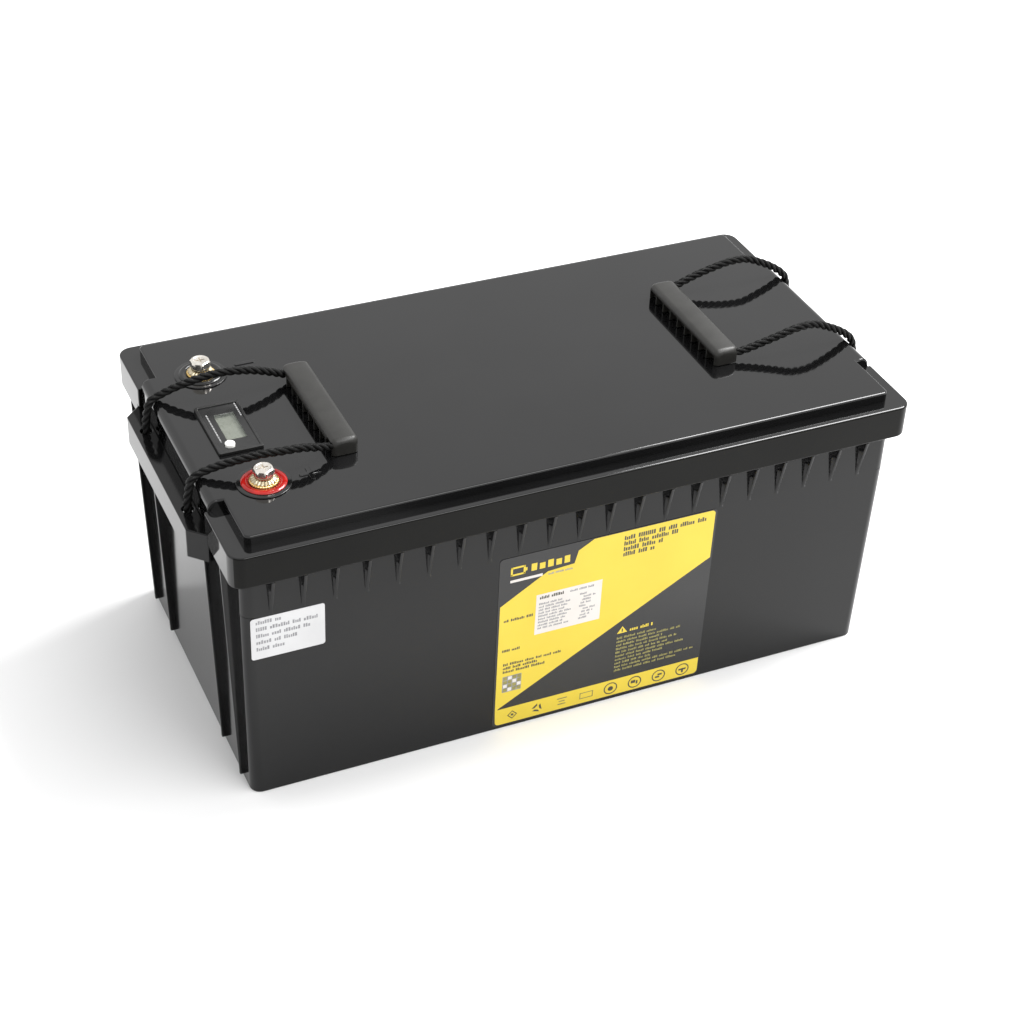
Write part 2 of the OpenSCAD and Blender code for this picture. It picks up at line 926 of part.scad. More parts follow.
// Sense wires from the busbars to the connector: one flat loom with a tap
// on each bar.
module balance_leads() {
    loom_z = post_z + bar_t;
    loom_t = 1.4;
    loom_y = 28;
    loom_w = 10;
    tap_w = 3;
    over = 4;
    color("#d8d3c2") {
        translate([bms_x - 4, loom_y, loom_z])
            cube([post_x(3) + tap_w - bms_x + 4, loom_w, loom_t]);
        translate([bms_x - 4, loom_y, bms_z + 90])
            cube([loom_t, loom_w, loom_z - bms_z - 90 + eps]);
        for (x = [post_x(0.5), post_x(2.5)])
            translate([x, loom_y + loom_w - eps, loom_z])
                cube([tap_w, post_y - bar_w / 2 + over - loom_y - loom_w, loom_t]);
        for (x = [post_x(0), post_x(1.5), post_x(3)])
            translate([x, over - post_y + bar_w / 2 - 2 * over, loom_z])
                cube([tap_w, post_y - bar_w / 2 + over + loom_y + eps, loom_t]);
    }
}

module temperature_probe() {
    color("#101010") translate([post_x(1), 20, cell_z0 + cell_h])
        cylinder(r = 2.5, h = 3);
}

container();
lid();
lid_seal();
left_grip();
right_grip();
left_rope();
right_rope();
left_rope_tails();
right_rope_tails();
positive_collar();
positive_ring();
positive_insert();
positive_flat_washer();
positive_spring_washer();
positive_bolt();
negative_collar();
negative_ring();
negative_insert();
negative_flat_washer();
negative_spring_washer();
negative_bolt();
insert_o_rings();
meter_bezel();
meter_window();
meter_display();
meter_button();
meter_board();
meter_switch();
meter_lead();
front_label();
side_label();
cell_1();
cell_2();
cell_3();
cell_4();
cell_spacers();
end_plates();
compression_bands();
busbars();
base_pad();
foam_blocks();
bms_board();
bms_heatsink();
bms_standoffs();
bms_screws();
bms_connector();
positive_cable();
negative_cable();
pack_negative_cable();
cable_lugs();
balance_leads();
temperature_probe();
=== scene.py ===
import json
import math
import random

import bmesh
import bpy
from mathutils import Matrix, Vector
from mathutils.geometry import interpolate_bezier


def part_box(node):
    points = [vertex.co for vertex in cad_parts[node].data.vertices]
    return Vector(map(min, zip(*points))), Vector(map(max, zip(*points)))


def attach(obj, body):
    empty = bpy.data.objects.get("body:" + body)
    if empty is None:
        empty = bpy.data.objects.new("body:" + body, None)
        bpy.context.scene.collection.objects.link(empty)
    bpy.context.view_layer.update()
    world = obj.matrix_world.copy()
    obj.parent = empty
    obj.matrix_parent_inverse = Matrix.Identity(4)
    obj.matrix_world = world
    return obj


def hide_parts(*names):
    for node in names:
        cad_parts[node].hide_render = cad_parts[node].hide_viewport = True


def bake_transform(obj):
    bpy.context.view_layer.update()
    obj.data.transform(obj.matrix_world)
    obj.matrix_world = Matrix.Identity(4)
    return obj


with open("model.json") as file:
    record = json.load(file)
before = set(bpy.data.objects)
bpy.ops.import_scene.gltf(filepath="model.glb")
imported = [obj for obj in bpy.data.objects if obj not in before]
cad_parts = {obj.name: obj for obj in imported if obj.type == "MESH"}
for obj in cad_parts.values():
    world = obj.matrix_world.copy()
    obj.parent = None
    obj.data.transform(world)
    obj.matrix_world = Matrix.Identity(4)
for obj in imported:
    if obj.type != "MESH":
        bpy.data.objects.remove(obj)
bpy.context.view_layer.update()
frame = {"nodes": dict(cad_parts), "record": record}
MM = 0.001

# ---------------------------------------------------------------- sizes, in metres
ROPE_D = 6.0 * MM
ROPE_LAY = 17.0 * MM        # length of one turn of the rope's strands
ROPE_Y = 49.0 * MM          # the rope holes, across the case
ROPE_X = 253.0 * MM         # the rope holes, along the case
BEND_X = 241.5 * MM         # middle of the rope's bend over the lid's edge
BEND_Z = 214.0 * MM
BEND_R = 9.5 * MM
KNOT_TOP = 192.7 * MM       # underside of the lug's plate
TERM_X = -206.5 * MM
TERM_Y = 69.5 * MM

# Routes of the ropes from one hole to the other, as in the CAD model, in millimetres
LEFT_ROUTE = [
    (-244, 49, 223.2), (-231.5, 45.5, 230), (-219, 42, 235), (-205, 41, 237.5),
    (-191.5, 39, 238), (-177, 39, 235.2), (-163, 39.5, 230.2), (-156.5, 40.3, 227),
    (-151, 41, 225.8), (-147, 38, 225.6), (-146, 25, 225.6), (-146, 10, 225.6),
    (-146, -5, 225.6), (-146, -20, 225.6), (-146, -35, 225.6), (-147, -48, 225.6),
    (-151, -53, 226.2), (-157, -56, 227.6), (-164, -58.3, 230.3), (-177, -60, 234),
    (-191, -58.8, 234), (-204.4, -56.5, 233.3), (-218, -54, 230.8), (-231.5, -51, 227.4),
    (-244, -49, 223.2),
]
RIGHT_ROUTE = [
    (248, 49, 221), (240, 50, 227.5), (229, 51, 233.5), (216, 52, 238.5),
    (202, 53, 238.5), (188, 53, 236), (174, 53, 232.5), (160, 52, 228.5),
    (151, 50, 226), (147, 45, 225.6), (146, 32, 225.6), (146, 18, 225.6),
    (146, 3, 225.6), (146, -12, 225.6), (146, -26, 225.6), (147, -39, 225.6),
    (151, -44, 225.8), (160, -46, 227), (174, -47, 230.5), (188, -48, 234.5),
    (202, -49, 238.5), (216, -49, 238.5), (229, -49, 233.5), (240, -49, 227.5),
    (248, -49, 221),
]


# ---------------------------------------------------------------- camera, light, floor
def make_camera():
    """The camera looks along -back from a fixed distance, with a small roll."""
    azimuth, elevation, roll = math.radians(-24.53), math.radians(36.82), math.radians(2.07)
    target = Vector((-0.0320, -0.0411, 0.110))
    distance = 1.520
    data = bpy.data.cameras.new("camera")
    data.sensor_width = 36.0
    data.lens = 74.3
    data.shift_x = 0.0234
    data.shift_y = 0.0230
    data.clip_start, data.clip_end = 0.05, 50.0
    camera = bpy.data.objects.new("camera", data)
    bpy.context.scene.collection.objects.link(camera)
    back = Vector((
        math.sin(azimuth) * math.cos(elevation),
        -math.cos(azimuth) * math.cos(elevation),
        math.sin(elevation),
    ))
    side = Vector((0, 0, 1)).cross(back).normalized()
    up = back.cross(side)
    rolled_side = math.cos(roll) * side + math.sin(roll) * up
    rolled_up = math.cos(roll) * up - math.sin(roll) * side
    turn = Matrix((rolled_side, rolled_up, back)).transposed()
    camera.matrix_world = Matrix.Translation(target + back * distance) @ turn.to_4x4()
    bpy.context.scene.camera = camera


def area_light(name, place, target, size, power):
    """A soft light, wide and high by size, that faces a target."""
    data = bpy.data.lights.new(name, "AREA")
    data.shape = "RECTANGLE"
    data.size, data.size_y = size
    data.energy = power
    light = bpy.data.objects.new(name, data)
    light.location = place
    light.rotation_euler = (Vector(target) - Vector(place)).to_track_quat("-Z", "Y").to_euler()
    bpy.context.scene.collection.objects.link(light)


def make_light():
    """An even white surround, a key that glints on the front edges and one from behind."""
    world = bpy.data.worlds.new("world")
    bpy.context.scene.world = world
    world.use_nodes = True
    background = world.node_tree.nodes["Background"]
    background.inputs["Color"].default_value = (1.0, 1.0, 1.0, 1.0)
    background.inputs["Strength"].default_value = 1.05
    bpy.context.scene.view_settings.view_transform = "Standard"
    area_light("front_key", (0.7, -0.95, 1.75), (0, 0, 0.15), (1.8, 1.1), 22)
    area_light("back_key", (1.3, 0.3, 1.9), (-0.2, 0.2, 0), (0.9, 0.9), 58)


def make_floor():
    """A plain pale floor."""
    mesh = bpy.data.meshes.new("floor")
    reach = 6.0
    mesh.from_pydata(
        [(-reach, -reach, 0), (reach, -reach, 0), (reach, reach, 0), (-reach, reach, 0)],
        [], [(0, 1, 2, 3)],
    )
    floor = bpy.data.objects.new("floor", mesh)
    bpy.context.scene.collection.objects.link(floor)
    mesh.materials.append(surface("floor", (0.86, 0.86, 0.86), (0.9, 0.9, 0.9), 0.6, grain=3))


# ---------------------------------------------------------------- materials
class Nodes:
    """A short way to write a material's node tree."""

    def __init__(self, name):
        self.material = bpy.data.materials.new(name)
        self.material.use_nodes = True
        self.tree = self.material.node_tree
        self.shader = self.tree.nodes["Principled BSDF"]
        self.place = self.add("ShaderNodeTexCoord")

    def add(self, kind, **values):
        node = self.tree.nodes.new(kind)
        for key, value in values.items():
            setattr(node, key, value)
        return node

    def link(self, a, b):
        self.tree.links.new(a, b)

    def noise(self, scale, detail=3.0):
        node = self.add("ShaderNodeTexNoise")
        node.inputs["Scale"].default_value = scale
        node.inputs["Detail"].default_value = detail
        self.link(self.place.outputs["Object"], node.inputs["Vector"])
        return node.outputs["Fac"]

    def ramp(self, source, stops):
        """A colour ramp; stops are (position, colour) pairs."""
        node = self.add("ShaderNodeValToRGB")
        elements = node.color_ramp.elements
        while len(elements) < len(stops):
            elements.new(0.5)
        for element, (position, colour) in zip(elements, stops):
            element.position = position
            element.color = (*colour, 1.0)
        self.link(source, node.inputs["Fac"])
        return node.outputs["Color"]

    def span(self, source, low, high):
        """Stretches the middle of a noise's range over low to high."""
        node = self.add("ShaderNodeMapRange")
        node.inputs["From Min"].default_value = 0.35
        node.inputs["From Max"].default_value = 0.65
        node.inputs["To Min"].default_value = low
        node.inputs["To Max"].default_value = high
        self.link(source, node.inputs["Value"])
        return node.outputs["Result"]

    def bump(self, source, height, before=None):
        node = self.add("ShaderNodeBump")
        node.inputs["Strength"].default_value = 1.0
        node.inputs["Distance"].default_value = height
        self.link(source, node.inputs["Height"])
        if before:
            self.link(before, node.inputs["Normal"])
        return node.outputs["Normal"]


def surface(name, dark, light, rough, grain=60.0, spread=0.04, height=0.0, fine=900.0,
            metallic=0.0, ior=1.5, wave=0.0, wave_scale=9.0):
    """A plain moulded, cast or plated surface: its colour and gloss vary slowly over it,
    with a fine grain of the given height and long shallow waves."""
    n = Nodes(name)
    slow = n.noise(grain)
    n.link(n.ramp(slow, [(0.35, dark), (0.65, light)]), n.shader.inputs["Base Color"])
    patches = n.noise(grain * 0.37, 5.0)
    low, high = max(rough - spread, 0.01), rough + spread
    n.link(n.span(patches, low, high), n.shader.inputs["Roughness"])
    normal = None
    if wave:
        normal = n.bump(n.noise(wave_scale, 1.0), wave)
    if height:
        normal = n.bump(n.noise(fine, 2.0), height, normal)
    if normal:
        n.link(normal, n.shader.inputs["Normal"])
    n.shader.inputs["Metallic"].default_value = metallic
    n.shader.inputs["IOR"].default_value = ior
    return n.material


def rope_material():
    """Black twisted cord: fine yarns run along each strand, with a faint sheen; painted shade
    darkens the grooves between the yarns, and their raised ridges are lighter.
    """
    n = Nodes("rope_yarn_groove_shade")
    uv = n.place.outputs["UV"]
    turn = n.add("ShaderNodeMapping")
    turn.inputs["Rotation"].default_value = (0, 0, math.radians(38))
    n.link(uv, turn.inputs["Vector"])
    yarn = n.add("ShaderNodeTexWave", wave_type="BANDS", bands_direction="X")
    yarn.inputs["Scale"].default_value = 2.2
    yarn.inputs["Distortion"].default_value = 2.5
    yarn.inputs["Detail"].default_value = 2.0
    n.link(turn.outputs["Vector"], yarn.inputs["Vector"])
    fuzz = n.noise(1400.0, 2.0)
    # painted shade: the colour is darkest where the yarn bump sinks into a groove
    colour = n.ramp(
        yarn.outputs["Fac"], [(0.1, (0.0008, 0.0008, 0.0008)), (0.9, (0.0045, 0.0045, 0.0043))])
    n.link(colour, n.shader.inputs["Base Color"])
    n.link(n.span(fuzz, 0.34, 0.5), n.shader.inputs["Roughness"])
    n.shader.inputs["IOR"].default_value = 1.3
    normal = n.bump(yarn.outputs["Fac"], 0.12 * MM)
    n.link(n.bump(fuzz, 0.05 * MM, normal), n.shader.inputs["Normal"])
    return n.material


def display_material():
    """Reflective liquid crystal panel: grey-green, a little uneven."""
    n = Nodes("display_panel")
    panel = n.noise(120.0, 2.0)
    n.link(
        n.ramp(panel, [(0.3, (0.19, 0.20, 0.165)), (0.7, (0.23, 0.24, 0.20))]),
        n.shader.inputs["Base Color"],
    )
    n.link(n.span(n.noise(400.0), 0.25, 0.4), n.shader.inputs["Roughness"])
    return n.material


def window_material():
    """Clear cover of the display: mostly see-through, with a gloss."""
    n = Nodes("clear_cover")
    n.link(
        n.ramp(n.noise(80.0), [(0.3, (0.20, 0.22, 0.19)), (0.7, (0.25, 0.27, 0.24))]),
        n.shader.inputs["Base Color"],
    )
    n.link(n.span(n.noise(260.0), 0.03, 0.08), n.shader.inputs["Roughness"])
    n.shader.inputs["Alpha"].default_value = 0.18
    return n.material


MATERIALS = {}


def make_materials():
    """Every material, by the record's slot or by the name of its use."""
    m = MATERIALS
    m["case_plastic"] = surface(
        "case_plastic", (0.0040, 0.0040, 0.0042), (0.0050, 0.0050, 0.0052), 0.13,
        grain=14, spread=0.025, height=0.004 * MM, fine=1500, ior=1.35, wave=0.5 * MM,
        wave_scale=7)
    m["lid_plastic"] = surface(
        "lid_plastic", (0.0035, 0.0035, 0.0036), (0.0048, 0.0048, 0.0050), 0.06,
        grain=11, spread=0.02, wave=0.06 * MM, wave_scale=5)
    m["rim_plastic"] = surface(
        "rim_plastic", (0.0030, 0.0029, 0.0024), (0.0042, 0.0041, 0.0034), 0.2,
        grain=18, spread=0.03, height=0.006 * MM, fine=1300, ior=1.22)
    m["seal_rubber"] = surface(
        "seal_rubber", (0.012, 0.012, 0.012), (0.022, 0.022, 0.022), 0.7, height=0.03 * MM)
    m["grip_plastic"] = surface(
        "grip_plastic", (0.011, 0.0105, 0.0090), (0.016, 0.0155, 0.0135), 0.40,
        grain=90, spread=0.06, height=0.03 * MM, fine=1600)
    m["rope"] = rope_material()
    m["collar_plastic"] = surface(
        "collar_plastic", (0.004, 0.004, 0.004), (0.007, 0.007, 0.007), 0.15, height=0.004 * MM)
    m["red_ring"] = surface(
        "red_ring", (0.28, 0.006, 0.005), (0.37, 0.012, 0.009), 0.12, grain=180, spread=0.04)
    m["black_ring"] = surface(
        "black_ring", (0.004, 0.004, 0.004), (0.008, 0.008, 0.008), 0.12, grain=180)
    m["brass"] = surface(
        "brass", (0.70, 0.47, 0.16), (0.86, 0.62, 0.27), 0.24, grain=300, spread=0.08,
        height=0.01 * MM, metallic=1.0)
    m["plated_steel"] = surface(
        "plated_steel", (0.40, 0.34, 0.23), (0.60, 0.53, 0.38), 0.24, grain=320, spread=0.08,
        height=0.01 * MM, metallic=1.0)
    m["bolt_steel"] = surface(
        "bolt_steel", (0.66, 0.62, 0.56), (0.84, 0.80, 0.74), 0.2, grain=260, spread=0.07,
        height=0.008 * MM, metallic=1.0)
    m["bezel_plastic"] = surface(
        "bezel_plastic", (0.005, 0.005, 0.005), (0.009, 0.009, 0.009), 0.3,
        grain=120, spread=0.05, height=0.012 * MM, fine=1800)
    m["clear_lens"] = window_material()
    m["display"] = display_material()
    m["button"] = surface(
        "button", (0.80, 0.80, 0.77), (0.90, 0.90, 0.87), 0.35, grain=300, height=0.01 * MM)
    m["green_board"] = surface("green_board", (0.01, 0.12, 0.04), (0.02, 0.18, 0.07), 0.4)
    m["blue_board"] = surface("blue_board", (0.01, 0.06, 0.2), (0.02, 0.1, 0.3), 0.4)
    m["grey_wire"] = surface("grey_wire", (0.42, 0.40, 0.35), (0.52, 0.50, 0.44), 0.5)
    m["front_label"] = surface(
        "label_film_dark", (0.0060, 0.0060, 0.0066), (0.0085, 0.0085, 0.0092), 0.2,
        grain=30, spread=0.05, wave=0.15 * MM, wave_scale=14)
    m["side_label"] = surface(
        "label_film_white", (0.54, 0.54, 0.545), (0.59, 0.59, 0.595), 0.45,
        grain=30, spread=0.06, wave=0.08 * MM, wave_scale=30)
    m["cell_wrap"] = surface("cell_wrap", (0.03, 0.10, 0.34), (0.05, 0.15, 0.44), 0.3)
    m["spacer_board"] = surface("spacer_board", (0.52, 0.45, 0.30), (0.6, 0.53, 0.36), 0.6)
    m["aluminium"] = surface(
        "aluminium", (0.62, 0.63, 0.65), (0.76, 0.77, 0.79), 0.35, grain=200, metallic=1.0)
    m["band_steel"] = surface(
        "band_steel", (0.45, 0.46, 0.48), (0.58, 0.59, 0.61), 0.35, grain=200, metallic=1.0)
    m["foam"] = surface(
        "foam", (0.07, 0.07, 0.08), (0.11, 0.11, 0.12), 0.9, grain=500, height=0.3 * MM)
    m["red_cable"] = surface("red_cable", (0.42, 0.02, 0.015), (0.52, 0.03, 0.02), 0.45)
    m["black_cable"] = surface("black_cable", (0.014, 0.014, 0.014), (0.024, 0.024, 0.024), 0.45)
    m["copper"] = surface(
        "copper", (0.62, 0.35, 0.2), (0.75, 0.45, 0.28), 0.3, grain=200, metallic=1.0)
    m["yellow_print"] = surface(
        "yellow_print", (0.64, 0.485, 0.030), (0.68, 0.515, 0.036), 0.36, grain=22, spread=0.05)
    m["white_print"] = surface(
        "white_print", (0.62, 0.585, 0.55), (0.66, 0.625, 0.59), 0.45, grain=40, spread=0.05)
    m["dark_print"] = surface(
        "dark_print", (0.035, 0.032, 0.022), (0.050, 0.046, 0.032), 0.45, grain=400)
    m["meter_print"] = surface(
        "meter_print", (0.26, 0.26, 0.26), (0.34, 0.34, 0.34), 0.5, grain=300)
    m["grey_print"] = surface(
        "grey_print", (0.20, 0.20, 0.21), (0.28, 0.28, 0.29), 0.5, grain=400)
    m["dim_print"] = surface(
        "dim_print", (0.20, 0.18, 0.05), (0.28, 0.25, 0.07), 0.5, grain=400)


# ---------------------------------------------------------------- mesh helpers
def add_object(name, mesh, materials, smooth=35.0):
    """An object from a mesh, smooth but for edges sharper than an angle."""
    for key in materials:
        mesh.materials.append(MATERIALS[key])
    mesh.shade_smooth()
    if smooth < 180:
        mesh.set_sharp_from_angle(angle=math.radians(smooth))
    obj = bpy.data.objects.new(name, mesh)
    bpy.context.scene.collection.objects.link(obj)
    return obj


def from_bmesh(name, bm, materials, smooth=35.0):
    bmesh.ops.recalc_face_normals(bm, faces=bm.faces)
    mesh = bpy.data.meshes.new(name)
    bm.to_mesh(mesh)
    bm.free()
    return add_object(name, mesh, materials, smooth)


def round_edges(obj, width, segments=3, skip=None):
    """Rounds an object's sharp outer edges, less beside a narrow face, and keeps its inner
    edges crisp; skip(point) leaves out the edges of small features."""
    mesh = obj.data
    bm = bmesh.new()
    bm.from_mesh(mesh)
    layer = bm.edges.layers.float.new("bevel_weight_edge")
    turn = math.radians(28)
    share = 0.42
    sharp = {
        e for e in bm.edges
        if e.is_manifold and e.is_convex and e.calc_face_angle(0) > turn
        and not (skip and (skip(e.verts[0].co) or skip(e.verts[1].co)))
    }
    for edge in sharp:
        room = width / share
        along = (edge.verts[1].co - edge.verts[0].co).normalized()
        for vert in edge.verts:
            for other in vert.link_edges:
                way = (other.verts[1].co - other.verts[0].co).normalized()
                if abs(way.dot(along)) < 0.9:
                    room = min(room, other.calc_length())
        edge[layer] = min(1.0, share * room / width)
    for edge in bm.edges:
        if edge not in sharp and edge.calc_face_angle(0) > turn:
            edge.smooth = False
    bm.to_mesh(mesh)
    bm.free()
    bevel = obj.modifiers.new("round_edges", "BEVEL")
    bevel.width = width
    bevel.segments = segments
    bevel.limit_method = "WEIGHT"
    bevel.use_clamp_overlap = False
    bevel.miter_outer = "MITER_ARC"
    weighted = obj.modifiers.new("flat_faces", "WEIGHTED_NORMAL")
    weighted.keep_sharp = True


def refine(node, name, materials, width=0.0, segments=3, skip=None, weld=0.004 * MM):
    """A copy of a CAD node with its flat faces whole again and its edges rounded."""
    mesh = frame["nodes"][node].data.copy()
    mesh.materials.clear()
    bm = bmesh.new()
    bm.from_mesh(mesh)
    bmesh.ops.remove_doubles(bm, verts=bm.verts, dist=weld)
    bmesh.ops.dissolve_limit(
        bm, angle_limit=math.radians(0.6), verts=bm.verts, edges=bm.edges,
        use_dissolve_boundaries=False)
    bm.to_mesh(mesh)
    bm.free()
    obj = add_object(name, mesh, materials)
    if width:
        round_edges(obj, width, segments, skip)
    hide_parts(node)
    return obj


def soften(points, radius, steps=3):
    """A closed outline with its corners rounded by up to a radius."""
    out = []
    count = len(points)
    for i, corner in enumerate(points):
        corner = Vector(corner)
        before, after = Vector(points[i - 1]), Vector(points[(i + 1) % count])
        reach_a = min(radius, 0.45 * (before - corner).length)
        reach_b = min(radius, 0.45 * (after - corner).length)
        a = corner + (before - corner).normalized() * reach_a
        b = corner + (after - corner).normalized() * reach_b
        for k in range(steps + 1):
            t = k / steps
            out.append(a * (1 - t) ** 2 + corner * 2 * t * (1 - t) + b * t ** 2)
    return out


def lathe(name, outline, x, y, materials, turns=96, waver=None):
    """Turns a closed outline of (radius, height) about an upright axis.
    waver(angle, radius, height) gives a new radius."""
    bm = bmesh.new()
    rings = []
    for k in range(turns):
        angle = 2 * math.pi * k / turns
        ring = []
        for r, z in outline:
            radius = waver(angle, r, z) if waver else r
            place = (x + radius * math.cos(angle), y + radius * math.sin(angle), z)
            ring.append(bm.verts.new(place))
        rings.append(ring)
    count = len(outline)
    for k in range(turns):
        one, two = rings[k], rings[(k + 1) % turns]
        for i in range(count):
            j = (i + 1) % count
            bm.faces.new((one[i], two[i], two[j], one[j]))
    return from_bmesh(name, bm, materials)


def ride(obj, body):
    """Rides a piece on a body."""
    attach(obj, body)
    return obj


# ---------------------------------------------------------------- case and lid
def make_case():
    """The ribbed case: its own CAD shape with rounded edges."""
    case = refine("container", "case_shell", ["case_plastic"], 0.7 * MM, 2, weld=0.03 * MM)
    ride(case, "case")


def make_lid():
    """The stepped lid: a mirror-like top and a satin rim round it."""
    reach = 12 * MM
    meter_low, meter_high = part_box("meter_bezel")

    def fitted(p):
        """True on the rims of the holes that the collars and the bezel cover."""
        if p.z < 200 * MM or abs(p.x) > 240 * MM:
            return False
        hole = math.hypot(p.x - TERM_X, abs(p.y) - TERM_Y) < reach
        meter = meter_low.x < p.x < meter_high.x and meter_low.y < p.y < meter_high.y
        return hole or meter

    lid = refine("lid", "stepped_lid", ["lid_plastic", "rim_plastic"], 1.2 * MM, 4, fitted)
    rim_top = 213 * MM
    for face in lid.data.polygons:
        outward = abs(face.normal.z) < 0.5 and abs(face.normal.y) > 0.5
        if outward and face.center.z < rim_top and abs(face.center.y) > 0.13:
            face.material_index = 1
    ride(lid, "case")


# ---------------------------------------------------------------- ropes
def spline(points, step):
    """Even samples, a step apart, of the smooth curve through points."""
    points = [Vector(p) for p in points]
    dense = []
    for i in range(len(points) - 1):
        p0 = points[max(i - 1, 0)]
        p1, p2 = points[i], points[i + 1]
        p3 = points[min(i + 2, len(points) - 1)]
        third = (p2 - p1).length / 3
        a = p1 + (p2 - p0).normalized() * third
        b = p2 - (p3 - p1).normalized() * third
        dense += interpolate_bezier(p1, a, b, p2, 24)[:-1]
    dense.append(points[-1])
    out, travelled, wanted = [dense[0]], 0.0, step
    for one, two in zip(dense, dense[1:]):
        gap = (two - one).length
        while travelled + gap >= wanted:
            out.append(one.lerp(two, (wanted - travelled) / gap))
            wanted += step
        travelled += gap
    return out


def add_strand(bm, uv, centres, radius, sides, step, outward):
    """One tube along centres, with u along it and v round it, in turns of its yarns."""
    rings = []
    for i, centre in enumerate(centres):
        tangent = (centres[min(i + 1, len(centres) - 1)] - centres[max(i - 1, 0)]).normalized()
        n = outward[i] - tangent * outward[i].dot(tangent)
        n.normalize()
        b = tangent.cross(n)
        rings.append([
            bm.verts.new(centre + radius * (math.cos(a) * n + math.sin(a) * b))
            for a in (2 * math.pi * k / sides for k in range(sides))
        ])
    along = step / (2.2 * MM)
    for i in range(len(rings) - 1):
        for k in range(sides):
            j = (k + 1) % sides
            face = bm.faces.new((rings[i][k], rings[i][j], rings[i + 1][j], rings[i + 1][k]))
            around = (k / sides * 2, (k + 1) / sides * 2)
            corners = (
                (i * along, around[0]), (i * along, around[1]),
                ((i + 1) * along, around[1]), ((i + 1) * along, around[0]),
            )
            for loop, corner in zip(face.loops, corners):
                loop[uv].uv = corner
    bm.faces.new(list(reversed(rings[0])))
    bm.faces.new(rings[-1])


def rope_mesh(name, path, step, diameter=ROPE_D, sides=10):
    """Three strands twisted round each other along an evenly sampled path."""
    radius = diameter / 2
    strand_r = radius * 0.485
    core_r = radius - strand_r
    tangents = [
        (path[min(i + 1, len(path) - 1)] - path[max(i - 1, 0)]).normalized()
        for i in range(len(path))
    ]
    normal = tangents[0].orthogonal().normalized()
    frames = []
    for tangent in tangents:
        normal = (normal - tangent * normal.dot(tangent)).normalized()
        frames.append((normal, tangent.cross(normal)))
    bm = bmesh.new()
    uv = bm.loops.layers.uv.new("yarn")
    for strand in range(3):
        centres, outward = [], []
        for i, point in enumerate(path):
            angle = 2 * math.pi * (strand / 3 + i * step / ROPE_LAY)
            out = math.cos(angle) * frames[i][0] + math.sin(angle) * frames[i][1]
            centres.append(point + core_r * out)
            outward.append(out)
        add_strand(bm, uv, centres, strand_r, sides, step, outward)
    return from_bmesh(name, bm, ["rope"], smooth=180)


def rope_path(route, side, stop, step):
    """A handle rope from one knot, up through its hole, along the route, and down again."""
    def tail(y):
        low = Vector((side * ROPE_X, y, KNOT_TOP - 4 * MM))
        high = Vector((side * ROPE_X, y, 203 * MM))
        bend = [
            Vector((
                side * (BEND_X + BEND_R * math.sin(math.radians(a))), y,
                BEND_Z + BEND_R * math.cos(math.radians(a))))
            for a in range(80, stop - 1, -17)
        ]
        return [low, low.lerp(high, 0.5), high] + bend

    middle = [Vector(p) * MM for p in route]
    back, front = tail(ROPE_Y), tail(-ROPE_Y)
    return spline(back + middle + list(reversed(front)), step)


def make_knot(name, side, y):
    """The stopper knot under a lug: two close turns and a short cut end."""
    centre = Vector((side * (ROPE_X - 2 * MM), y, 0))
    coil_r, low = 3.3 * MM, KNOT_TOP - 9 * MM
    points = [Vector((side * ROPE_X, y, KNOT_TOP + 1 * MM))]
    turns, count = 1.6, 26
    for k in range(count + 1):
        t = k / count
        angle = 2 * math.pi * turns * t
        swell = coil_r * min(1.0, 0.45 + 2.2 * t)
        points.append(centre + Vector((
            side * swell * math.cos(angle), swell * math.sin(angle),
            KNOT_TOP - 3 * MM - (KNOT_TOP - 6 * MM - low) * t)))
    points.append(points[-1] + Vector((side * -2 * MM, -3 * MM, -3.5 * MM)))
    points.append(points[-1] + Vector((side * -1 * MM, -2 * MM, -4.5 * MM)))
    step = 0.9 * MM
    knot = rope_mesh(name, spline(points, step), step, ROPE_D * 0.92)
    return ride(knot, "case")


def make_rope(side, route, stop):
    """One handle's rope with its two knots; it bends where it crosses the lid's edge."""
    word = "left" if side < 0 else "right"
    step = 0.9 * MM
    path = rope_path(route, side, stop, step)
    knots = [
        make_knot(f"{word}_knot_back", side, ROPE_Y),
        make_knot(f"{word}_knot_front", side, -ROPE_Y),
    ]
    rope = rope_mesh(f"{word}_handle_rope", path, step)
    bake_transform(rope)
    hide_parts(f"{word}_rope", f"{word}_rope_tails")


# ---------------------------------------------------------------- grips
def loaf(name, low, high, side_r, end_r, steps=6):
    """A closed bar along Y between two corners, with rounded top edges and ends."""
    width, height = (high.x - low.x) / 2, high.z - low.z
    middle = (low.x + high.x) / 2
    length = high.y - low.y
    places = [end_r * (1 - math.cos(math.pi / 2 * k / steps)) for k in range(steps + 1)]
    places += [length / 2] + [length - p for p in reversed(places)]
    bm = bmesh.new()
    rings = []
    for place in places:
        near = min(place, length - place)
        inset = end_r - math.sqrt(max(end_r ** 2 - (end_r - min(near, end_r)) ** 2, 0))
        w, h = width - inset, height - inset * 0.8
        r = min(side_r, w * 0.9)
        section = [(-w, 0), (-w, 1.5 * MM)]
        for k in range(steps + 1):
            a = math.pi / 2 * k / steps
            section.append((-w + r * (1 - math.cos(a)), h - r * (1 - math.sin(a))))
        section += [(-w * 0.4, h + 0.25 * MM), (0, h + 0.35 * MM)]
        section += [(-u, v) for u, v in reversed(section[:-1])]
        rings.append([bm.verts.new((middle + u, low.y + place, low.z + v)) for u, v in section])
    count = len(rings[0])
    for one, two in zip(rings, rings[1:]):
        for i in range(count):
            j = (i + 1) % count
            bm.faces.new((one[i], one[j], two[j], two[i]))
    bm.faces.new(rings[0])
    bm.faces.new(list(reversed(rings[-1])))
    return from_bmesh(name, bm, ["grip_plastic"])


